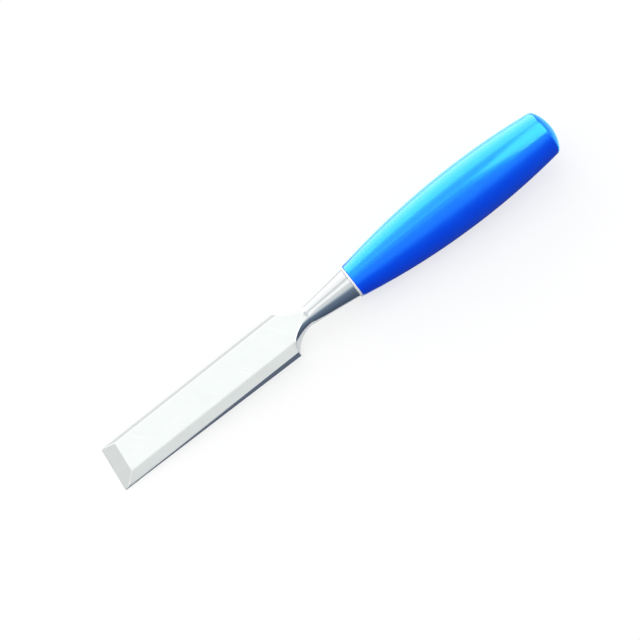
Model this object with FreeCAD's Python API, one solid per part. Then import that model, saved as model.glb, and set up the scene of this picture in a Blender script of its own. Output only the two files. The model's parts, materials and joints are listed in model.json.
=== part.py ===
# A bevel-edge bench chisel: a one-piece steel forging (blade, neck, bolster and tang), a thin
# washer behind the bolster, and a barrel-shaped handle moulded with a blind bore for the tang.
#
# All sizes are in millimetres. The pieces are drawn in the tool's own lines: X runs along the
# handle's axis from the cutting edge to the butt, Y across the blade, Z through the bevelled
# face. The finished tool is then laid down as it lies on a bench, on its cutting edge and the
# handle's belly, with the bench at Z = 0.
import FreeCAD, Part
import math
import os

# --- Driving dimensions: blade ---
BLADE_WIDTH = 25.4
BLADE_LENGTH = 96.8  # cutting edge to the corners of the shoulders
BACK_TO_FACE_AT_BEVEL = 3.7  # blade thickness where the ground bevel ends
BACK_TO_FACE_AT_SHOULDER = 6.1
GRIND_ANGLE = 25.0  # degrees, front bevel to flat back
EDGE_LAND = 0.1  # blunt width left on the cutting edge
SIDE_BEVEL_WIDTH = 3.9
SIDE_BEVEL_DROP = 2.8

# --- Driving dimensions: neck, bolster and tang ---
SHOULDER_SWEEP = 12.5  # radius that sweeps the shoulders into the neck
NECK_DIAMETER = 8.6
NECK_LENGTH = 3.0  # end of the sweep to the centre of the bolster's round nose
NOSE_DIAMETER = 9.2
BOLSTER_LENGTH = 21.7  # centre of the nose to the seat
BOLSTER_DIAMETER = 14.7  # at the seat
BOLSTER_EDGE_RADIUS = 0.3
TANG_LENGTH = 74.0
TANG_ROOT = 6.6  # square
TANG_END = 4.4  # square, where the point starts
TANG_POINT = 5.0  # length of the point
TANG_POINT_END = 2.4  # square
TANG_CORNER = 0.7  # chamfer on the tang's four corners

# --- Driving dimensions: washer ---
WASHER_THICKNESS = 1.0
WASHER_DIAMETER = 16.0
WASHER_EDGE_RADIUS = 0.2

# --- Driving dimensions: handle ---
HANDLE_LENGTH = 110.1
HANDLE_FRONT_DIAMETER = 16.1
HANDLE_FRONT_RADIUS = 0.5
BELLY_DIAMETER = 27.5
BELLY_FROM_FRONT = 63.1
RIM_DIAMETER = 22.0
DOME_HEIGHT = 3.6
RIM_RADIUS = 3.0

# --- Fits ---
TANG_CLEARANCE = 0.08  # all round, tang to the handle's bore
TANG_END_GAP = 1.5  # bore left empty past the tang's point
WASHER_CLEARANCE = 0.25  # washer's hole to the tang's corners

# --- Stations along the tool ---
SHOULDER_RADIUS = math.hypot(BLADE_WIDTH / 2, BACK_TO_FACE_AT_SHOULDER / 2)
SWEEP_CENTRE_Z = NECK_DIAMETER / 2 + SHOULDER_SWEEP
WAIST_X = BLADE_LENGTH + math.sqrt(SHOULDER_SWEEP**2 - (SWEEP_CENTRE_Z - SHOULDER_RADIUS) ** 2)
NOSE_X = WAIST_X + NECK_LENGTH
SEAT_X = NOSE_X + BOLSTER_LENGTH
HANDLE_X = SEAT_X + WASHER_THICKNESS
BELLY_X = HANDLE_X + BELLY_FROM_FRONT
BUTT_X = HANDLE_X + HANDLE_LENGTH
RIM_X = BUTT_X - DOME_HEIGHT
OUTSIDE = 2 * BLADE_WIDTH  # reach of cutting and limiting shapes past the steel


def taper():
    """The blade's half thickness grows by slope * x from its value at the cutting edge.

    The ground bevel climbs from the back at the edge to the face at its far end, so its length
    and the half thickness at the edge depend on each other; two lines give both.
    """
    at_bevel = BACK_TO_FACE_AT_BEVEL / 2
    at_shoulder = BACK_TO_FACE_AT_SHOULDER / 2
    bevel_length = BACK_TO_FACE_AT_BEVEL / math.tan(math.radians(GRIND_ANGLE))
    slope = (at_shoulder - at_bevel) / (BLADE_LENGTH - bevel_length)
    at_edge = at_bevel - slope * bevel_length
    return bevel_length, slope, at_edge


BEVEL_LENGTH, TAPER_SLOPE, HALF_AT_EDGE = taper()


def half_thickness(x):
    """Distance from the tool's axis to the blade's face or back at station x."""
    return HALF_AT_EDGE + TAPER_SLOPE * x


def point(x, z, y=0.0):
    """A point of the tool, from its place along the axis and its height."""
    return FreeCAD.Vector(x, y, z)


def line(a, b):
    """Straight edge between two points."""
    return Part.LineSegment(a, b).toShape()


def arc(a, through, b):
    """Circular edge from a to b."""
    return Part.Arc(a, through, b).toShape()


def face_of(edges):
    """Flat face inside a closed run of edges."""
    return Part.Face(Part.Wire(edges))


def turned(edges):
    """Solid turned about the tool's axis from a half outline that starts and ends on it."""
    return face_of(edges).revolve(point(0, 0), FreeCAD.Vector(1, 0, 0), 360)


def polygon_face(points):
    """Flat face with straight sides."""
    return Part.Face(Part.makePolygon(points + points[:1]))


# --- Steel forging ---


def neck():
    """Turned shape of the shoulders and neck, as wide as the blade, before its flats are ground."""
    shoulder = point(BLADE_LENGTH, SHOULDER_RADIUS)
    waist = point(WAIST_X, NECK_DIAMETER / 2)
    sweep_angle = math.asin((WAIST_X - BLADE_LENGTH) / SHOULDER_SWEEP) / 2
    middle = point(
        WAIST_X - SHOULDER_SWEEP * math.sin(sweep_angle),
        SWEEP_CENTRE_Z - SHOULDER_SWEEP * math.cos(sweep_angle),
    )
    end = point(NOSE_X, NECK_DIAMETER / 2)
    centre = point(NOSE_X, 0)
    front = point(BLADE_LENGTH, 0)
    body = turned(
        [
            line(front, shoulder),
            arc(shoulder, middle, waist),
            line(waist, end),
            line(end, centre),
            line(centre, front),
        ]
    )
    return body.common(blade_wide_box(NOSE_X))


def bolster():
    """Cone from the seat to a round nose that rises out of the neck's flats."""
    nose_radius = NOSE_DIAMETER / 2
    seat_rim = point(SEAT_X, BOLSTER_DIAMETER / 2)
    to_rim = math.hypot(BOLSTER_LENGTH, seat_rim.z)
    nose_angle = math.pi - math.atan2(seat_rim.z, BOLSTER_LENGTH) - math.acos(nose_radius / to_rim)
    tip = point(NOSE_X - nose_radius, 0)
    middle = point(
        NOSE_X - nose_radius * math.cos(nose_angle / 2), nose_radius * math.sin(nose_angle / 2)
    )
    cone_start = point(
        NOSE_X - nose_radius * math.cos(nose_angle), nose_radius * math.sin(nose_angle)
    )
    seat = point(SEAT_X, 0)
    body = turned(
        [
            arc(tip, middle, cone_start),
            line(cone_start, seat_rim),
            line(seat_rim, seat),
            line(seat, tip),
        ]
    )
    return body.makeFillet(BOLSTER_EDGE_RADIUS, circles_at(body, seat_rim))


def circles_at(shape, rim):
    """The shape's full circles about the tool's axis, at this station and radius."""
    found = []
    near = 1e-6
    for edge in shape.Edges:
        if edge.Degenerated or not isinstance(edge.Curve, Part.Circle):
            continue
        same_radius = abs(edge.Curve.Radius - rim.z) < near
        if same_radius and abs(edge.Curve.Center.x - rim.x) < near:
            found.append(edge)
    return found


def blade_wide_box(length):
    """Box as wide as the blade, from the cutting edge on."""
    corner = point(0, -OUTSIDE, -BLADE_WIDTH / 2)
    return Part.makeBox(length, BLADE_WIDTH, 2 * OUTSIDE, corner)


def side_view():
    """Space between the flat back and the face, from the ground bevel to the bolster's nose."""
    nose_half = half_thickness(NOSE_X)
    profile = polygon_face(
        [
            point(0, -HALF_AT_EDGE, -BLADE_WIDTH),
            point(0, EDGE_LAND - HALF_AT_EDGE, -BLADE_WIDTH),
            point(BEVEL_LENGTH, half_thickness(BEVEL_LENGTH), -BLADE_WIDTH),
            point(NOSE_X, nose_half, -BLADE_WIDTH),
            point(NOSE_X, -nose_half, -BLADE_WIDTH),
        ]
    )
    return profile.extrude(point(0, 0, 2 * BLADE_WIDTH))


def side_bevel_cutter(side):
    """Wedge that grinds one long side bevel; side is +1 or -1 across the blade."""
    inner_y = BLADE_WIDTH / 2 - SIDE_BEVEL_WIDTH
    outer_y = BLADE_WIDTH / 2 + SIDE_BEVEL_WIDTH
    start_x = -SIDE_BEVEL_WIDTH
    start_z = half_thickness(start_x)
    section = polygon_face(
        [
            point(start_x, start_z, side * inner_y),
            point(start_x, start_z - 2 * SIDE_BEVEL_DROP, side * outer_y),
            point(start_x, start_z + OUTSIDE, side * outer_y),
            point(start_x, start_z + OUTSIDE, side * inner_y),
        ]
    )
    run = NOSE_X - start_x
    return section.extrude(point(run, run * TAPER_SLOPE))


def square_taper(stations, extra):
    """Four-sided bar with chamfered corners through (x, side) stations, grown by extra all round."""
    wires = []
    for x, side in stations:
        half = side / 2 + extra
        inner = half - TANG_CORNER
        corners = [
            (half, inner),
            (inner, half),
            (-inner, half),
            (-half, inner),
            (-half, -inner),
            (-inner, -half),
            (inner, -half),
            (half, -inner),
        ]
        points = [point(x, z, y) for y, z in corners]
        wires.append(Part.makePolygon(points + points[:1]))
    return Part.makeLoft(wires, True, True)


def tang_stations(start_x, end_gap):
    """Side of the tang's square from start_x to its point, moved end_gap deeper at the end."""
    end_x = SEAT_X + TANG_LENGTH
    point_x = end_x - TANG_POINT
    narrowing = (TANG_ROOT - TANG_END) / (point_x - SEAT_X)
    start_side = TANG_ROOT - narrowing * (start_x - SEAT_X)
    return [(start_x, start_side), (point_x, TANG_END), (end_x + end_gap, TANG_POINT_END)]


def blade():
    """The one-piece forging."""
    outline = blade_wide_box(BLADE_LENGTH).fuse(neck())
    steel = outline.common(side_view())
    steel = steel.cut([side_bevel_cutter(1), side_bevel_cutter(-1)])
    tang = square_taper(tang_stations(SEAT_X, 0), 0)
    return steel.fuse([bolster(), tang]).removeSplitter()


# --- Washer ---


def washer():
    """Thin flat ring between the bolster's seat and the handle's front."""
    tang_corner_radius = math.hypot(TANG_ROOT / 2, TANG_ROOT / 2 - TANG_CORNER)
    axis = FreeCAD.Vector(1, 0, 0)
    disc = Part.makeCylinder(WASHER_DIAMETER / 2, WASHER_THICKNESS, point(SEAT_X, 0), axis)
    rims = [point(SEAT_X, WASHER_DIAMETER / 2), point(HANDLE_X, WASHER_DIAMETER / 2)]
    edges = [edge for rim in rims for edge in circles_at(disc, rim)]
    disc = disc.makeFillet(WASHER_EDGE_RADIUS, edges)
    hole_radius = tang_corner_radius + WASHER_CLEARANCE
    hole = Part.makeCylinder(hole_radius, WASHER_THICKNESS, point(SEAT_X, 0), axis)
    return disc.cut(hole)


# --- Handle ---


def belly_radius(end_x, end_radius):
    """Radius of the outline's arc that is level at the belly and passes through an end point."""
    along = abs(BELLY_X - end_x)
    fall = BELLY_DIAMETER / 2 - end_radius
    return (along**2 + fall**2) / (2 * fall)


def belly_arc_point(x, sweep):
    """Point of the belly's arc with this radius, at station x."""
    return point(x, BELLY_DIAMETER / 2 - sweep + math.sqrt(sweep**2 - (x - BELLY_X) ** 2))


def handle():
    """Barrel-shaped handle with a domed butt and a blind tapered bore."""
    front = point(HANDLE_X, HANDLE_FRONT_DIAMETER / 2)
    belly = point(BELLY_X, BELLY_DIAMETER / 2)
    rim = point(RIM_X, RIM_DIAMETER / 2)
    butt = point(BUTT_X, 0)
    front_sweep = belly_radius(front.x, front.z)
    rear_sweep = belly_radius(rim.x, rim.z)
    dome_sweep = (rim.z**2 + DOME_HEIGHT**2) / (2 * DOME_HEIGHT)
    half_angle = math.asin(rim.z / dome_sweep) / 2
    dome_middle = point(
        BUTT_X - dome_sweep * (1 - math.cos(half_angle)), dome_sweep * math.sin(half_angle)
    )
    body = turned(
        [
            line(point(HANDLE_X, 0), front),
            arc(front, belly_arc_point((front.x + belly.x) / 2, front_sweep), belly),
            arc(belly, belly_arc_point((belly.x + rim.x) / 2, rear_sweep), rim),
            arc(rim, dome_middle, butt),
            line(butt, point(HANDLE_X, 0)),
        ]
    )
    body = body.makeFillet(RIM_RADIUS, circles_at(body, rim))
    body = body.makeFillet(HANDLE_FRONT_RADIUS, circles_at(body, front))
    bore = square_taper(tang_stations(HANDLE_X, TANG_END_GAP), TANG_CLEARANCE)
    return body.cut(bore)


# --- Lying on the bench ---


def lay_down(shapes):
    """Turns the tool about its cutting edge until the belly meets the bench, and centres it."""
    sweep = belly_radius(HANDLE_X, HANDLE_FRONT_DIAMETER / 2)
    to_centre_x = BELLY_X
    to_centre_z = sweep - BELLY_DIAMETER / 2 + HALF_AT_EDGE
    distance = math.hypot(to_centre_x, to_centre_z)
    lift = math.asin(sweep / distance) - math.atan2(to_centre_z, to_centre_x)
    edge = point(0, -HALF_AT_EDGE)
    for shape in shapes:
        shape.rotate(edge, FreeCAD.Vector(0, -1, 0), math.degrees(lift))
    box = Part.makeCompound(shapes).optimalBoundingBox()
    to_origin = point(-(box.XMin + box.XMax) / 2, HALF_AT_EDGE)
    for shape in shapes:
        shape.translate(to_origin)
    print(f"lift {math.degrees(lift):.4f} degrees, moved by {to_origin}")
    print(f"box {box}")
    return shapes


os.makedirs("parts", exist_ok=True)
NODES = {"blade": blade(), "bolster_washer": washer(), "handle": handle()}
lay_down(list(NODES.values()))
for name, shape in NODES.items():
    shape.exportStep(f"parts/{name}.step")
    print(f"{name}: {len(shape.Solids)} solid, valid {shape.isValid()}, {shape.Volume:.1f} mm3")
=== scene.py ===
"""Looks of a bevel-edge bench chisel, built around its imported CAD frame.

Units are metres. Each piece is meshed in the tool's own lines, X along the handle's axis from the
cutting edge, Y across the blade and Z through the bevelled face, and is then placed by the neck
mount of the record.
"""

import json
import math

import bpy
import numpy as np
from mathutils import Matrix, Vector


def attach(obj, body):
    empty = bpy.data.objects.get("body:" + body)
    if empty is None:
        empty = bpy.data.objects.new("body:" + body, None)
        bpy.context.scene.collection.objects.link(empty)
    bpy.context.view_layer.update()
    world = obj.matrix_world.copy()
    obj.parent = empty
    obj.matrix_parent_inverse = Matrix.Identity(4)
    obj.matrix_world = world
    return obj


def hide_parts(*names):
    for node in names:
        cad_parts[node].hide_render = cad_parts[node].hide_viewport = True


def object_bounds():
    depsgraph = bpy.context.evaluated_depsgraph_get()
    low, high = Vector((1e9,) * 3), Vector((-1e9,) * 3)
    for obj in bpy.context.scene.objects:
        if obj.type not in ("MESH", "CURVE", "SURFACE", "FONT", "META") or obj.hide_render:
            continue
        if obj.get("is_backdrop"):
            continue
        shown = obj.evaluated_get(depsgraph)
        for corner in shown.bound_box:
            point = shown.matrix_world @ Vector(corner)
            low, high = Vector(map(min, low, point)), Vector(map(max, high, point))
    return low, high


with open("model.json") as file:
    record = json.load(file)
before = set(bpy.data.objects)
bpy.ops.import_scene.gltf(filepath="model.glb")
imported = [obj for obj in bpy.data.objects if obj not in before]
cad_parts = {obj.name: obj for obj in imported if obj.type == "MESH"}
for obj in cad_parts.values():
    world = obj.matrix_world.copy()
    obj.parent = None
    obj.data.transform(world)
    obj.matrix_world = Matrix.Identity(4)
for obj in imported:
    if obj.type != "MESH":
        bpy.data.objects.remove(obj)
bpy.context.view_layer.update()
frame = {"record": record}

# --- Blade and bolster, as in the CAD ---
BLADE_WIDTH = 0.0254
BLADE_LENGTH = 0.0968
THICK_AT_BEVEL = 0.0037
THICK_AT_SHOULDER = 0.0061
GRIND_ANGLE = math.radians(25)
EDGE_LAND = 0.0001
SIDE_BEVEL_WIDTH = 0.0039
SIDE_BEVEL_DROP = 0.0028
SHOULDER_SWEEP = 0.0125
NECK_RADIUS = 0.0043
NECK_LENGTH = 0.003
NOSE_RADIUS = 0.0046
BOLSTER_LENGTH = 0.0217
BOLSTER_RADIUS = 0.00735
BOLSTER_EDGE = 0.0003
TANG_LENGTH = 0.074
TANG_ROOT = 0.0066
TANG_END = 0.0044
TANG_POINT = 0.005
TANG_POINT_END = 0.0024
TANG_CORNER = 0.0007

# --- Washer and handle, as in the CAD ---
WASHER_THICKNESS = 0.001
WASHER_RADIUS = 0.008
WASHER_EDGE = 0.0002
WASHER_CLEARANCE = 0.00025
HANDLE_LENGTH = 0.1101
HANDLE_FRONT_RADIUS = 0.00805
HANDLE_FRONT_EDGE = 0.0005
BELLY_RADIUS = 0.01375
BELLY_FROM_FRONT = 0.0631
RIM_RADIUS = 0.011
RIM_EDGE = 0.003
DOME_HEIGHT = 0.0036
TANG_CLEARANCE = 0.00008
TANG_END_GAP = 0.0015

# --- Softness of the forging's ground edges ---
EDGE_SOFTNESS = 0.00022
CUTTING_EDGE_SOFTNESS = 0.00006
NOSE_BLEND = 0.0009

# --- Mesh density ---
AROUND_STEEL = 176
AROUND_TURNED = 144
RAY_SAMPLES = 3600
BISECTIONS = 26  # halvings that find the surface along a ray
ROUND_STEPS = 6  # steps in each small quarter round
BLEND_STEP = 0.00008  # between stations across the forging's soft edges
EDGE_ZONE = 0.0012  # finely stepped length behind the cutting edge
SHOULDER_ZONE = 0.0024  # and past the blade's shoulder

# --- Camera, in the tool's own lines ---
CAMERA_TARGET = Vector((0.11263, -0.0036, -0.0029))
CAMERA_DISTANCE = 0.7487
CAMERA_TILT = math.radians(36.09)  # from straight above, towards the near side
CAMERA_SWING = math.radians(0.70)  # towards the butt
CAMERA_ROLL = math.radians(37.88)  # tool's rise across the picture
CAMERA_LENS = 95.7
CAMERA_SENSOR = 36.0


# --- Stations along the tool ---

bevel_length = THICK_AT_BEVEL / math.tan(GRIND_ANGLE)
taper = (THICK_AT_SHOULDER - THICK_AT_BEVEL) / 2 / (BLADE_LENGTH - bevel_length)
half_at_edge = THICK_AT_BEVEL / 2 - taper * bevel_length
shoulder_radius = math.hypot(BLADE_WIDTH / 2, THICK_AT_SHOULDER / 2)
sweep_centre = NECK_RADIUS + SHOULDER_SWEEP
waist_x = BLADE_LENGTH + math.sqrt(SHOULDER_SWEEP**2 - (sweep_centre - shoulder_radius) ** 2)
nose_x = waist_x + NECK_LENGTH
seat_x = nose_x + BOLSTER_LENGTH
handle_x = seat_x + WASHER_THICKNESS
belly_x = handle_x + BELLY_FROM_FRONT
butt_x = handle_x + HANDLE_LENGTH
rim_x = butt_x - DOME_HEIGHT


def tool_placement():
    """Where the tool's own lines lie in the frame, from the mount at the neck."""
    mount = next(m for m in frame["record"]["mounts"] if m["name"] == "rack_neck")
    along = -Vector(mount["axis"]).normalized()
    across = Vector((0, 1, 0))
    up = along.cross(across)
    start = Vector(mount["pos_m"]) - along * waist_x
    columns = Matrix((along, across, up)).transposed()
    return Matrix.Translation(start) @ columns.to_4x4()


TOOL = tool_placement()
TOOL_PLACE = "tool_place"  # each point's place in the tool's own lines, for the materials


# --- Meshes from rings of points ---


def lofted(name, rings, closed):
    """Quad mesh through rings of equal point counts; closed joins the last ring to the first."""
    count = len(rings[0])
    points = np.concatenate(rings)
    faces = []
    last = len(rings) if closed else len(rings) - 1
    for ring in range(last):
        here = ring * count
        there = (ring + 1) % len(rings) * count
        for i in range(count):
            j = (i + 1) % count
            faces.append((here + i, here + j, there + j, there + i))
    if not closed:
        faces.append(tuple(reversed(range(count))))
        faces.append(tuple(range(len(points) - count, len(points))))
    mesh = bpy.data.meshes.new(name)
    mesh.from_pydata(points.tolist(), [], faces)
    mesh.validate()
    mesh.shade_smooth()
    place = mesh.attributes.new(TOOL_PLACE, "FLOAT_VECTOR", "POINT")
    place.data.foreach_set("vector", points.astype(np.float32).ravel())
    mesh.transform(TOOL)
    piece = bpy.data.objects.new(name, mesh)
    bpy.context.scene.collection.objects.link(piece)
    return piece


def keep_flats_flat(piece):
    """Large faces decide the shading normals, so that flats stay flat up to their soft edges."""
    modifier = piece.modifiers.new("flats", "WEIGHTED_NORMAL")
    modifier.weight = 80


def circle(x, radius, count):
    """Ring about the tool's axis."""
    angle = np.arange(count) * 2 * math.pi / count
    return np.column_stack((np.full(count, x), radius * np.cos(angle), radius * np.sin(angle)))


def square_ring(x, side, extra, count):
    """Ring round a square bar with chamfered corners, grown by extra all round."""
    angle = np.arange(count) * 2 * math.pi / count
    c, s = np.abs(np.cos(angle)), np.abs(np.sin(angle))
    half = side / 2 + extra
    flat = half / np.maximum(c, s)
    chamfer = (2 * half - TANG_CORNER) / (c + s)
    reach = np.minimum(flat, chamfer)
    return np.column_stack((np.full(count, x), reach * np.cos(angle), reach * np.sin(angle)))


def tang_side(x):
    """Side of the tang's square between its root and its point."""
    point_x = seat_x + TANG_LENGTH - TANG_POINT
    return TANG_ROOT - (TANG_ROOT - TANG_END) * (x - seat_x) / (point_x - seat_x)


# --- Steel forging ---


def soft_max(a, b, softness):
    """Larger of two distances, rounded where they are close."""
    near = np.maximum(softness - np.abs(a - b), 0) / softness
    return np.maximum(a, b) + near**2 * softness / 4


def steel_distance(x, y, z):
    """About how far a point is outside the blade, neck and bolster; negative inside."""
    y = np.abs(y)
    radius = np.hypot(y, z)
    half = half_at_edge + taper * x
    face = z - half
    back = -z - half
    rise = z + half_at_edge - EDGE_LAND
    grind = rise * math.cos(GRIND_ANGLE) - x * math.sin(GRIND_ANGLE)
    slant = math.hypot(SIDE_BEVEL_WIDTH, SIDE_BEVEL_DROP)
    inward = y - BLADE_WIDTH / 2 + SIDE_BEVEL_WIDTH
    side_bevel = (inward * SIDE_BEVEL_DROP + face * SIDE_BEVEL_WIDTH) / slant
    side = y - BLADE_WIDTH / 2
    sweep = SHOULDER_SWEEP - np.hypot(x - waist_x, radius - sweep_centre)
    sweep = np.where(x > waist_x, radius - NECK_RADIUS, sweep)
    blade = soft_max(face, side_bevel, EDGE_SOFTNESS)
    blade = soft_max(blade, side, EDGE_SOFTNESS)
    blade = soft_max(blade, sweep, EDGE_SOFTNESS)
    blade = soft_max(blade, grind, EDGE_SOFTNESS)
    blade = soft_max(blade, back, np.where(x < bevel_length, CUTTING_EDGE_SOFTNESS, EDGE_SOFTNESS))
    return -soft_max(-blade, -bolster_distance(x, radius), NOSE_BLEND)


def bolster_distance(x, radius):
    """Distance outside the bolster's round nose and the cone behind it."""
    to_rim = math.hypot(BOLSTER_LENGTH, BOLSTER_RADIUS)
    flare = math.atan2(BOLSTER_RADIUS, BOLSTER_LENGTH) - math.asin(NOSE_RADIUS / to_rim)
    along = (x - nose_x) * math.cos(flare) + radius * math.sin(flare)
    off = radius * math.cos(flare) - (x - nose_x) * math.sin(flare)
    return np.where(along > 0, off, np.hypot(along, off)) - NOSE_RADIUS


def section_frame(x):
    """Centre height and half sizes of the section at x, which aim the rays that find its outline."""
    half = half_at_edge + taper * x
    top = min(half, EDGE_LAND - half_at_edge + x * math.tan(GRIND_ANGLE))
    wide = BLADE_WIDTH / 2
    if x > BLADE_LENGTH:
        off = min(max(waist_x - x, 0), SHOULDER_SWEEP)
        wide = min(wide, sweep_centre - math.sqrt(SHOULDER_SWEEP**2 - off**2))
    high = (top + half) / 2
    if x > nose_x - NOSE_RADIUS:
        wide = high = max(wide, NECK_RADIUS)
    return (top - half) / 2, wide, high


def even_outline(points, count):
    """Points spread round a closed outline, half by its length and half by how much it turns."""
    step = np.roll(points, -1, axis=0) - points
    length = np.hypot(step[:, 0], step[:, 1])
    heading = np.unwrap(np.arctan2(step[:, 1], step[:, 0]))
    turn = np.abs(np.diff(heading, append=heading[0] + 2 * math.pi))
    turn = (turn + np.roll(turn, 1)) / 2
    spent = np.concatenate(([0], np.cumsum(length / length.sum() + turn / turn.sum())))
    wanted = np.arange(count) * spent[-1] / count
    loop = np.vstack((points, points[:1]))
    return np.column_stack([np.interp(wanted, spent, loop[:, i]) for i in range(2)])


def section(x):
    """Ring round the forging at x, found along rays from the section's centre."""
    centre, wide, high = section_frame(x)
    angle = np.arange(RAY_SAMPLES) * 2 * math.pi / RAY_SAMPLES
    ray_y, ray_z = wide * np.cos(angle), high * np.sin(angle)
    low, reach = np.zeros(RAY_SAMPLES), np.full(RAY_SAMPLES, 2.0)
    for _ in range(BISECTIONS):
        middle = (low + reach) / 2
        inside = steel_distance(x, middle * ray_y, centre + middle * ray_z) < 0
        low, reach = np.where(inside, middle, low), np.where(inside, reach, middle)
    outline = np.column_stack((low * ray_y, centre + low * ray_z))
    even = even_outline(outline, AROUND_STEEL)
    return np.column_stack((np.full(AROUND_STEEL, x), even))


def stretch(start, end, step):
    """Stations from start up to end, about step apart, without the last."""
    count = max(1, round((end - start) / step))
    return [start + (end - start) * i / count for i in range(count)]


def forging():
    """Blade, neck, bolster and tang in one mesh."""
    fine = 2 * EDGE_SOFTNESS
    stations = (
        stretch(0, EDGE_ZONE, 0.0001)
        + stretch(EDGE_ZONE, bevel_length - fine, 0.0004)
        + stretch(bevel_length - fine, bevel_length + fine, BLEND_STEP)
        + stretch(bevel_length + fine, BLADE_LENGTH - fine, 0.003)
        + stretch(BLADE_LENGTH - fine, BLADE_LENGTH + SHOULDER_ZONE, BLEND_STEP)
        + stretch(BLADE_LENGTH + SHOULDER_ZONE, nose_x - NOSE_RADIUS, 0.0003)
        + stretch(nose_x - NOSE_RADIUS, nose_x, 0.00015)
        + stretch(nose_x, seat_x - BOLSTER_EDGE, 0.0012)
    )
    rings = [section(x) for x in stations]
    centre = (seat_x - BOLSTER_EDGE, BOLSTER_RADIUS - BOLSTER_EDGE)
    for i in range(ROUND_STEPS + 1):
        angle = math.pi / 2 * i / ROUND_STEPS
        x = centre[0] + BOLSTER_EDGE * math.sin(angle)
        rings.append(circle(x, centre[1] + BOLSTER_EDGE * math.cos(angle), AROUND_STEEL))
    tip_x = seat_x + TANG_LENGTH
    for x in np.linspace(seat_x, tip_x - TANG_POINT, 12):
        rings.append(square_ring(x, tang_side(x), 0, AROUND_STEEL))
    rings.append(square_ring(tip_x, TANG_POINT_END, 0, AROUND_STEEL))
    return lofted("forging", rings, closed=False)


# --- Washer ---


def washer_ring():
    """Thin ring with softened outer edges, a closed band round its own section."""
    hole = math.hypot(TANG_ROOT / 2, TANG_ROOT / 2 - TANG_CORNER) + WASHER_CLEARANCE
    inset = WASHER_RADIUS - WASHER_EDGE
    profile = [(seat_x, hole), (seat_x, inset)]
    for x, start in ((seat_x + WASHER_EDGE, math.pi), (handle_x - WASHER_EDGE, math.pi / 2)):
        for i in range(1, ROUND_STEPS):
            angle = start - math.pi / 2 * i / ROUND_STEPS
            profile.append((x + WASHER_EDGE * math.cos(angle), inset + WASHER_EDGE * math.sin(angle)))
    profile += [(handle_x, inset), (handle_x, hole)]
    rings = [circle(x, radius, AROUND_TURNED) for x, radius in profile]
    return lofted("washer", rings, closed=True)


# --- Handle ---


def belly_curve(end_x, end_radius, start_x, stop_x, count):
    """Outline points on the arc that is level at the belly and passes through an end point."""
    fall = BELLY_RADIUS - end_radius
    sweep = ((belly_x - end_x) ** 2 + fall**2) / (2 * fall)
    return [
        (x, BELLY_RADIUS - sweep + math.sqrt(sweep**2 - (x - belly_x) ** 2))
        for x in np.linspace(start_x, stop_x, count)
    ]


def rounded(before, corner, after, radius, count):
    """Points of the round that replaces a corner between two straight runs of an outline."""
    corner = Vector(corner)
    back = (Vector(before) - corner).normalized()
    on = (Vector(after) - corner).normalized()
    half_angle = back.angle(on) / 2
    centre = corner + (back + on).normalized() * (radius / math.sin(half_angle))
    reach = radius / math.tan(half_angle)
    start = (corner + back * reach - centre).normalized()
    stop = (corner + on * reach - centre).normalized()
    steps = [i / (count - 1) for i in range(count)]
    return [tuple(centre + start.slerp(stop, step) * radius) for step in steps]


RIM_ROUND_REACH = 0.9  # length left along the side for the rim's round, as a share of RIM_EDGE
DOME_START = 0.84  # share of the dome's half angle where its outline starts, past the rim's round
DOME_STOP = 0.02  # and where it stops, just off the axis


def handle_outline():
    """Half outline from the bore's mouth to the butt."""
    front = (handle_x, HANDLE_FRONT_RADIUS)
    rim = (rim_x, RIM_RADIUS)
    before = belly_curve(*front, front[0] + 2 * HANDLE_FRONT_EDGE, belly_x, count=60)
    after = belly_curve(*rim, belly_x, rim[0] - RIM_ROUND_REACH * RIM_EDGE, count=44)[1:]
    dome = (RIM_RADIUS**2 + DOME_HEIGHT**2) / (2 * DOME_HEIGHT)
    widest = math.asin(RIM_RADIUS / dome)
    cap = []
    for angle in np.linspace(widest * DOME_START, widest * DOME_STOP, 26):
        cap.append((butt_x - dome * (1 - math.cos(angle)), dome * math.sin(angle)))
    front_round = rounded((handle_x, 0), front, before[0], HANDLE_FRONT_EDGE, ROUND_STEPS + 1)
    rim_round = rounded(after[-1], rim, cap[0], RIM_EDGE, count=14)
    return front_round + before + after + rim_round + cap


def handle_moulding():
    """Barrel handle with its domed butt and the blind bore round the tang."""
    bore_end = seat_x + TANG_LENGTH + TANG_END_GAP
    bore_point = seat_x + TANG_LENGTH - TANG_POINT
    rings = [square_ring(bore_end, TANG_POINT_END, TANG_CLEARANCE, AROUND_TURNED)]
    for x in np.linspace(bore_point, handle_x, 8):
        rings.append(square_ring(x, tang_side(x), TANG_CLEARANCE, AROUND_TURNED))
    rings += [circle(x, radius, AROUND_TURNED) for x, radius in handle_outline()]
    return lofted("handle_moulding", rings, closed=False)


# --- Material helpers ---


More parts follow.
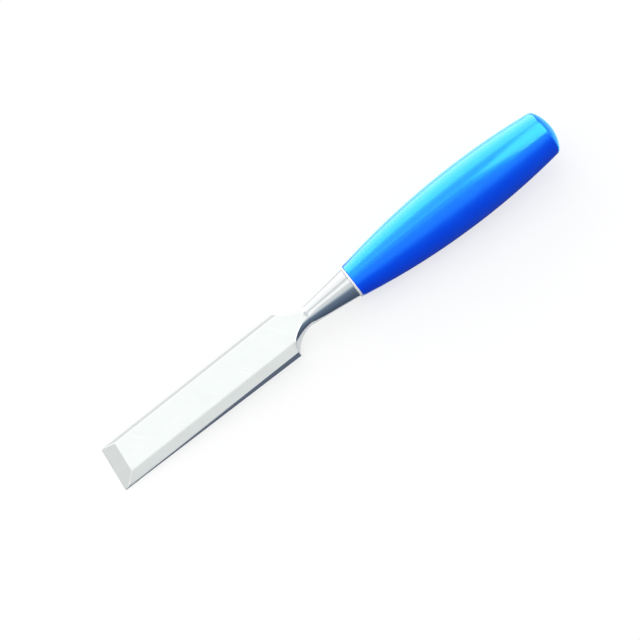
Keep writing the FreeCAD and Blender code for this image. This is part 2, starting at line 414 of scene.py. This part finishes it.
class Nodes:
    """Short calls for building one material's nodes."""

    def __init__(self, name):
        self.material = bpy.data.materials.new(name)
        self.material.use_nodes = True
        self.tree = self.material.node_tree
        self.shader = self.tree.nodes["Principled BSDF"]

    def add(self, kind, inputs=None, **settings):
        """New node with these settings; inputs maps a socket's name or number to its value or link."""
        node = self.tree.nodes.new(kind)
        for key, value in settings.items():
            setattr(node, key, value)
        for key, value in (inputs or {}).items():
            self.feed(node.inputs[key], value)
        return node

    def feed(self, socket, value):
        """Links an output to a socket, or sets the socket's own value."""
        if isinstance(value, bpy.types.NodeSocket):
            self.tree.links.new(value, socket)
        else:
            socket.default_value = value

    def set(self, **values):
        """Values or links for the shader's sockets, with _ for the spaces in their names."""
        for key, value in values.items():
            self.feed(self.shader.inputs[key.replace("_", " ")], value)

    def place(self):
        """Place on the tool, in its own lines."""
        return self.add("ShaderNodeAttribute", attribute_name=TOOL_PLACE).outputs["Vector"]

    def facing(self, direction):
        """How squarely the surface faces along a line, either way; 1 is head on."""
        normal = self.add("ShaderNodeNewGeometry").outputs["Normal"]
        node = self.add("ShaderNodeVectorMath", {0: normal, 1: direction}, operation="DOT_PRODUCT")
        return self.math("ABSOLUTE", node.outputs["Value"])

    def math(self, operation, a, b=0.0):
        """Result of one sum."""
        return self.add("ShaderNodeMath", {0: a, 1: b}, operation=operation).outputs[0]

    def ramp(self, value, low, high, out_low=0.0, out_high=1.0):
        """Value carried from one range to another, held at both ends."""
        sockets = {0: value, 1: low, 2: high, 3: out_low, 4: out_high}
        return self.add("ShaderNodeMapRange", sockets).outputs[0]

    def mix(self, factor, a, b):
        """Colour between a and b."""
        node = self.add("ShaderNodeMix", data_type="RGBA")
        self.feed(node.inputs[0], factor)
        self.feed(node.inputs[6], a)
        self.feed(node.inputs[7], b)
        return node.outputs[2]

    def noise(self, place, stretched, detail=4.0, roughness=0.55):
        """Noise with this many cells per metre along each of the tool's lines."""
        mapping = self.add("ShaderNodeMapping", {"Vector": place, "Scale": stretched})
        sockets = {"Vector": mapping.outputs[0], "Scale": 1.0, "Detail": detail}
        node = self.add("ShaderNodeTexNoise", {**sockets, "Roughness": roughness})
        return node.outputs[0]


def grey(level, alpha=1.0):
    """Colour with equal red, green and blue."""
    return (level, level, level, alpha)


# --- Materials ---

FACE_STEEL = (0.675, 0.705, 0.697, 1)
FACE_STEEL_WORN = (0.63, 0.66, 0.652, 1)
# Painted reflection: a dark bluish colour on the side lands that stands in for the dark surroundings
# they would reflect.
SIDE_LAND_PAINTED_REFLECTION = (0.10, 0.125, 0.175, 1)
SCRATCH_STEEL = grey(0.9)
SCRATCH_ANGLE = math.radians(-38)  # turns the scratches from straight across the blade
BOLSTER_STEEL = (0.65, 0.68, 0.69, 1)
BOLSTER_STEEL_WORN = grey(0.6)
HANDLE_BLUE = (0.0003, 0.026, 1.0, 1)
HANDLE_BLUE_DEEP = (0.0003, 0.015, 0.97, 1)
HANDLE_TINT = (0.04, 1.0, 0.9, 1)
HANDLE_IOR = 2.4  # above a real plastic's, for the strong pale reflections of the photo
WASHER_WHITE = (0.97, 0.97, 0.96, 1)
WASHER_SHADE = (0.93, 0.94, 0.94, 1)


def steel_material():
    """Satin ground flats and bevels, side lands with a painted dark reflection, and a polished neck
    and bolster.
    """
    n = Nodes("blade_steel")
    place = n.place()
    x_along = n.add("ShaderNodeSeparateXYZ", {0: place}).outputs[0]
    up = n.facing(TOOL.col[2].to_3d())
    sideways = n.facing(TOOL.col[1].to_3d())

    on_blade = n.ramp(x_along, BLADE_LENGTH + 0.0004, BLADE_LENGTH - 0.0002)
    flat = n.ramp(up, 0.9985, 0.9997)
    before_nose = n.ramp(x_along, nose_x - 0.0016, nose_x - 0.0034)
    ground = n.math("MAXIMUM", on_blade, n.math("MULTIPLY", flat, before_nose))
    # Mask of the side lands, which get the painted dark reflection.
    painted_reflection_land = n.math("MULTIPLY", n.ramp(sideways, 0.93, 0.99), on_blade)

    turned = n.add("ShaderNodeVectorRotate", {"Vector": place, "Angle": SCRATCH_ANGLE})
    scratches = n.noise(turned.outputs[0], (2600, 60, 900), detail=3)
    scratch_lines = n.ramp(scratches, 0.58, 0.74)
    grain = n.noise(place, (5200, 160, 2600), detail=5)
    cloud = n.noise(place, (95, 130, 95), detail=3)
    lathe = n.noise(place, (5200, 40, 40), detail=4)

    ground_colour = n.mix(cloud, FACE_STEEL_WORN, FACE_STEEL)
    ground_colour = n.mix(n.math("MULTIPLY", scratch_lines, 0.2), ground_colour, SCRATCH_STEEL)
    # Painted dark reflection on the side lands.
    ground_colour = n.mix(painted_reflection_land, ground_colour, SIDE_LAND_PAINTED_REFLECTION)
    polished_colour = n.mix(n.math("MULTIPLY", cloud, 0.5), BOLSTER_STEEL, BOLSTER_STEEL_WORN)
    n.set(Base_Color=n.mix(ground, polished_colour, ground_colour), Metallic=1.0)

    satin = n.ramp(grain, 0.25, 0.75, 0.20, 0.28)
    satin = n.math("SUBTRACT", satin, n.math("MULTIPLY", scratch_lines, 0.05))
    polish = n.ramp(lathe, 0.3, 0.7, 0.13, 0.2)
    rough = n.add("ShaderNodeMix", {0: ground, 2: polish, 3: satin}, data_type="FLOAT")
    n.set(Roughness=rough.outputs[0])

    relief = n.math("ADD", n.math("MULTIPLY", grain, 0.7), n.math("MULTIPLY", scratch_lines, 0.4))
    height = n.add("ShaderNodeMix", {0: ground, 2: lathe, 3: relief}, data_type="FLOAT")
    depth = n.ramp(ground, 0, 1, 0.05, 0.22)
    bump = n.add("ShaderNodeBump", {"Height": height.outputs[0], "Distance": 0.00004})
    n.feed(bump.inputs["Strength"], depth)
    n.set(Normal=bump.outputs[0])
    return n.material


def handle_material():
    """Deep blue gloss plastic: a coloured body under a clear, slightly rippled skin."""
    n = Nodes("handle_plastic")
    place = n.place()
    swirl = n.noise(place, (28, 60, 60), detail=3)
    flow = n.noise(place, (9, 190, 190), detail=2)
    blend = n.math("ADD", n.math("MULTIPLY", swirl, 0.6), n.math("MULTIPLY", flow, 0.4))
    n.set(Base_Color=n.mix(n.ramp(blend, 0.35, 0.65), HANDLE_BLUE_DEEP, HANDLE_BLUE))
    handled = n.noise(place, (160, 260, 260), detail=5, roughness=0.65)
    n.set(Roughness=n.ramp(handled, 0.35, 0.7, 0.20, 0.26))
    n.set(IOR=HANDLE_IOR, Specular_Tint=HANDLE_TINT)
    n.set(Coat_Weight=0.2, Coat_Roughness=0.02, Coat_IOR=1.5)
    ripple = n.noise(place, (240, 320, 320), detail=2)
    bump = n.add("ShaderNodeBump", {"Height": ripple, "Strength": 0.04, "Distance": 0.0002})
    n.set(Normal=bump.outputs[0], Coat_Normal=bump.outputs[0])
    return n.material


def washer_material():
    """White moulded plastic with a faint mottle."""
    n = Nodes("washer_plastic")
    place = n.place()
    mottle = n.noise(place, (700, 500, 500), detail=4)
    n.set(Base_Color=n.mix(mottle, WASHER_SHADE, WASHER_WHITE))
    n.set(Roughness=n.ramp(mottle, 0.3, 0.7, 0.32, 0.45))
    fine = n.noise(place, (3000, 3000, 3000), detail=3)
    bump = n.add("ShaderNodeBump", {"Height": fine, "Strength": 0.1, "Distance": 0.00003})
    n.set(Normal=bump.outputs[0])
    return n.material


# --- Pieces ---


def put(piece, node, material):
    """Gives a piece its finish and its body, in place of the CAD node it details."""
    piece.data.materials.append(material)
    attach(piece, "root")
    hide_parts(node)


steel = forging()
washer = washer_ring()
handle = handle_moulding()
keep_flats_flat(steel)
put(steel, "blade", steel_material())
put(washer, "bolster_washer", washer_material())
put(handle, "handle", handle_material())


# --- Floor ---

FLOOR_MARGIN = 0.05  # floor round the tool before it starts to fade
FLOOR_FADE = 0.12  # width over which it fades
FLOOR_GAP = 0.00002  # clearance below the tool
FLOOR_COLOUR = grey(0.3)
FLOOR_SPECK = grey(0.29)
FLOOR_LIFT = 0.69  # share of the white background that the floor gives off where it is seen


def floor():
    """Plain pale floor that keeps the tool's shadow and melts into the white background."""
    low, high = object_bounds()
    reach = Vector((high.x, high.y, 0)) + Vector((1, 1, 0)) * (FLOOR_MARGIN + FLOOR_FADE)
    bpy.ops.mesh.primitive_grid_add(x_subdivisions=8, y_subdivisions=8, size=2)
    ground = bpy.context.object
    ground.name = "floor"
    ground.data.transform(Matrix.Diagonal((reach.x, reach.y, 1, 1)))
    ground.location.z = low.z - FLOOR_GAP
    n = Nodes("floor")
    place = n.add("ShaderNodeTexCoord").outputs["Object"]
    rays = n.add("ShaderNodeLightPath").outputs
    seen = n.math("MAXIMUM", rays["Is Camera Ray"], rays["Is Glossy Ray"])
    seen = n.math("MAXIMUM", seen, rays["Is Transmission Ray"])
    speck = n.noise(place, (40, 40, 40))
    n.set(Base_Color=n.mix(speck, FLOOR_COLOUR, FLOOR_SPECK), Roughness=0.9)
    n.set(Specular_IOR_Level=0.1, Emission_Color=grey(1))
    n.set(Emission_Strength=n.math("MULTIPLY", seen, FLOOR_LIFT))
    across = n.add("ShaderNodeVectorMath", {0: place}, operation="ABSOLUTE").outputs[0]
    tool_half = (high.x, high.y, 0)
    past = n.add("ShaderNodeVectorMath", {0: across, 1: tool_half}, operation="SUBTRACT")
    past = n.add("ShaderNodeVectorMath", {0: past.outputs[0], 1: (0, 0, 0)}, operation="MAXIMUM")
    past = n.add("ShaderNodeVectorMath", {0: past.outputs[0]}, operation="LENGTH").outputs["Value"]
    fade = n.ramp(past, FLOOR_MARGIN, FLOOR_MARGIN + FLOOR_FADE, 1, 0)
    n.set(Alpha=n.math("MULTIPLY", fade, fade))
    ground.data.materials.append(n.material)
    ground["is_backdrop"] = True


floor()


# --- Studio ---

LAMP_DISTANCE = 0.9
ROOM_SEEN = grey(1)  # the white room, as the camera and the shiny surfaces see it
ROOM_LIGHT = (  # the room's soft light by angle from straight up, in degrees, minus on the near side
    (-180, (0.28, 0.30, 0.34)),
    (-110, (0.30, 0.31, 0.35)),
    (-80, (0.82, 0.82, 0.86)),
    (-40, (0.92, 0.93, 0.95)),
    (5, (0.90, 0.90, 0.90)),
    (50, (0.75, 0.75, 0.75)),
    (180, (0.5, 0.5, 0.5)),
)
LAMPS = (  # name, lowest and highest angle, width along the tool, and how bright it looks
    ("far_softbox", 48, 90, 1.6, 0.8),
    ("far_fill", 17, 48, 1.6, 0.42),
    ("top_strip", -28, -4, 1.6, 0.45),
)
HANDLE_LAMPS = (  # the same, for lamps that light only the handle
    ("handle_softbox", 25, 92, 1.5, 2.6),
    ("handle_fill", -10, 25, 1.5, 1.05),
)
CARD_END = 0.35  # how far the cards reach past the tool's middle
NEAR_CARD = (  # the dark card's bends: distance from the axis on the near side, and height
    (0.0075, 0.0005),
    (0.08, 0.035),
    (0.2, 0.25),
)
NEAR_CARD_BLADE_FOOT = 0.016  # the near card's foot stands back beside the blade
NEAR_CARD_STEP = 0.004  # and is fully forward this far past the bolster's nose
NEAR_CARD_COLOURS = (  # by angle from straight up towards the near side, in degrees
    (36, (1.0, 1.0, 1.0)),
    (50, (0.94, 0.97, 0.98)),
    (60, (0.52, 0.61, 0.70)),
    (68, (0.17, 0.23, 0.33)),
    (75, (0.10, 0.14, 0.21)),
    (90, (0.05, 0.07, 0.14)),
)
BUTT_CARD = ((0.001, 0.0005), (0.201, 0.07))  # distance past the butt, and height
BUTT_CARD_HALF_WIDTH = 0.12
BUTT_CARD_COLOUR = (0.55, 1.5, 1.65, 1)
FAR_CARD = ((0.0095, 0.0005), (0.2, 0.02))  # distance from the axis on the far side, and height
FAR_CARD_START = 0.003  # past the bolster's seat
FAR_CARD_COLOUR = (1.5, 2.4, 2.4, 1)
BUTT_SOFTBOX_SHAPE = (  # angle and lean of each corner as in towards(), nose towards the blade
    (-11, 9.3),
    (7, 18.8),
    (19, 22.5),
    (19, 55),
    (-51, 55),
    (-51, 23.3),
    (-28, 18.8),
)
BUTT_SOFTBOX_COLOUR = grey(4.8)


def towards(angle, lean):
    """Direction by its angle from straight up towards the far side, and its lean towards the butt."""
    angle, lean = math.radians(angle), math.radians(lean)
    far_and_up = Vector((0, math.sin(angle), math.cos(angle))) * math.cos(lean)
    return far_and_up + Vector((math.sin(lean), 0, 0))


def strip(name, low, high, width, glow):
    """Softbox that reaches from one angle to another; glow is how bright it looks straight on."""
    height = 2 * LAMP_DISTANCE * math.tan(math.radians(high - low) / 2)
    lamp = bpy.data.lights.new(name, "AREA")
    lamp.shape = "RECTANGLE"
    lamp.size, lamp.size_y = width, height
    lamp.energy = glow * width * height * math.pi
    holder = bpy.data.objects.new(name, lamp)
    bpy.context.scene.collection.objects.link(holder)
    direction = towards((low + high) / 2, 0)
    turn = direction.to_track_quat("Z", "Y").to_matrix().to_4x4()
    holder.matrix_world = Matrix.Translation(direction * LAMP_DISTANCE) @ turn
    holder.visible_camera = False
    return holder


def only_on(lamp, piece):
    """Keeps a lamp's light to one piece."""
    lit = bpy.data.collections.new(lamp.name + "_lit")
    lit.objects.link(piece)
    lamp.light_linking.receiver_collection = lit


for lamp in LAMPS:
    strip(*lamp)
for lamp in HANDLE_LAMPS:
    only_on(strip(*lamp), handle)


def ramp_by_angle(tree, angle, stops, low, high):
    """Colour ramp over an angle in degrees."""
    share = tree.nodes.new("ShaderNodeMapRange")
    tree.links.new(angle, share.inputs[0])
    share.inputs[1].default_value = math.radians(low)
    share.inputs[2].default_value = math.radians(high)
    ramp = tree.nodes.new("ShaderNodeValToRGB")
    tree.links.new(share.outputs[0], ramp.inputs[0])
    marks = ramp.color_ramp.elements
    while len(marks) < len(stops):
        marks.new(0.5)
    for mark, (degrees, colour) in zip(marks, stops):
        mark.position = (degrees - low) / (high - low)
        mark.color = (*colour, 1)
    return ramp.outputs[0]


def card(name, corners, faces, colour):
    """Glowing card that only reflections see; colour gets the card's nodes and gives its colour."""
    mesh = bpy.data.meshes.new(name)
    mesh.from_pydata(corners, [], faces)
    board = bpy.data.objects.new(name, mesh)
    bpy.context.scene.collection.objects.link(board)
    n = Nodes(name)
    n.set(Base_Color=grey(0), Specular_IOR_Level=0.0, Emission_Strength=1.0)
    n.set(Emission_Color=colour(n))
    mesh.materials.append(n.material)
    for kind in ("camera", "diffuse", "shadow"):
        setattr(board, "visible_" + kind, False)
    board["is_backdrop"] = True


def frame_x(x):
    """Where a station along the tool lies along the frame."""
    return (TOOL @ Vector((x, 0, 0))).x


def near_card_colour(n):
    """Dark at the card's foot, and as pale as the room at its top."""
    place = n.add("ShaderNodeTexCoord").outputs["Object"]
    place = n.add("ShaderNodeSeparateXYZ", {0: place}).outputs
    angle = n.math("ARCTAN2", n.math("MULTIPLY", place[1], -1.0), place[2])
    return ramp_by_angle(n.tree, angle, NEAR_CARD_COLOURS, 0, 90)


def near_card():
    """Bent card along the near side, for the shiny parts' dark lower edge."""
    (foot, low), bend, top = NEAR_CARD
    slope = (bend[1] - low) / (bend[0] - foot)
    feet = (
        (-CARD_END, NEAR_CARD_BLADE_FOOT),
        (frame_x(BLADE_LENGTH), NEAR_CARD_BLADE_FOOT),
        (frame_x(nose_x + NEAR_CARD_STEP), foot),
        (CARD_END, foot),
    )
    corners = []
    for x, out in feet:
        bends = ((out, low + slope * (out - foot)), bend, top)
        corners += [(x, -y, z) for y, z in bends]
    faces = []
    rows = len(NEAR_CARD)
    for column in range(len(feet) - 1):
        for row in range(rows - 1):
            i = rows * column + row
            faces.append((i, i + 1, i + 1 + rows, i + rows))
    card("near_card", corners, faces, near_card_colour)


def butt_card():
    """Sloping card beyond the butt, for the pale colour of its dome."""
    start = frame_x(butt_x)
    (near, low), (far, high) = BUTT_CARD
    side = BUTT_CARD_HALF_WIDTH
    foot = [(start + near, -side, low), (start + near, side, low)]
    top = [(start + far, side, high), (start + far, -side, high)]
    card("butt_card", foot + top, [(0, 1, 2, 3)], lambda n: BUTT_CARD_COLOUR)


def far_card():
    """Low bright card along the far side of the handle, which carries the highlight to its edge."""
    start = frame_x(seat_x) + FAR_CARD_START
    (foot, low), (top, high) = FAR_CARD
    corners = [(start, foot, low), (CARD_END, foot, low), (CARD_END, top, high), (start, top, high)]
    card("far_card", corners, [(0, 1, 2, 3)], lambda n: FAR_CARD_COLOUR)


def butt_softbox():
    """Softbox over the butt, for the highlight that narrows from the rim to the belly."""
    corners = [towards(angle, lean) * LAMP_DISTANCE for angle, lean in BUTT_SOFTBOX_SHAPE]
    face = tuple(range(len(corners)))
    card("butt_softbox", corners, [face], lambda n: BUTT_SOFTBOX_COLOUR)


near_card()
butt_card()
far_card()
butt_softbox()


def studio():
    """White room for the camera and for reflections, which lights the tool softly from all round."""
    world = bpy.data.worlds.new("studio")
    bpy.context.scene.world = world
    world.use_nodes = True
    tree = world.node_tree
    tree.nodes.clear()

    def add(kind, **settings):
        node = tree.nodes.new(kind)
        for key, value in settings.items():
            setattr(node, key, value)
        return node

    def link(a, b):
        tree.links.new(a, b)

    direction = add("ShaderNodeSeparateXYZ")
    link(add("ShaderNodeTexCoord").outputs["Generated"], direction.inputs[0])
    angle = add("ShaderNodeMath", operation="ARCTAN2")
    link(direction.outputs[1], angle.inputs[0])
    link(direction.outputs[2], angle.inputs[1])
    light = add("ShaderNodeBackground")
    link(ramp_by_angle(tree, angle.outputs[0], ROOM_LIGHT, -180, 180), light.inputs[0])
    white = add("ShaderNodeBackground")
    white.inputs[0].default_value = ROOM_SEEN
    rays = add("ShaderNodeLightPath").outputs
    seen = rays["Is Camera Ray"]
    for kind in ("Is Glossy Ray", "Is Transmission Ray"):
        either = add("ShaderNodeMath", operation="MAXIMUM")
        link(seen, either.inputs[0])
        link(rays[kind], either.inputs[1])
        seen = either.outputs[0]
    shown = add("ShaderNodeMixShader")
    link(seen, shown.inputs[0])
    link(light.outputs[0], shown.inputs[1])
    link(white.outputs[0], shown.inputs[2])
    link(shown.outputs[0], add("ShaderNodeOutputWorld").inputs[0])


studio()


# --- Camera ---


def camera():
    """Camera over the near side of the tool, rolled so that the tool rises across the picture."""
    lens = bpy.data.cameras.new("camera")
    lens.lens = CAMERA_LENS
    lens.sensor_width = CAMERA_SENSOR
    holder = bpy.data.objects.new("camera", lens)
    bpy.context.scene.collection.objects.link(holder)
    tilt, swing = CAMERA_TILT, CAMERA_SWING
    back = Vector(
        (math.sin(swing), -math.sin(tilt) * math.cos(swing), math.cos(tilt) * math.cos(swing))
    )
    along = (Vector((1, 0, 0)) - back * back.x).normalized()
    down = -back.cross(along)
    right = along * math.cos(CAMERA_ROLL) + down * math.sin(CAMERA_ROLL)
    up = back.cross(right)
    place = Matrix((right, up, back)).transposed().to_4x4()
    place.translation = CAMERA_TARGET + back * CAMERA_DISTANCE
    holder.matrix_world = TOOL @ place
    bpy.context.scene.camera = holder


camera()
bpy.context.scene.view_settings.view_transform = "Standard"
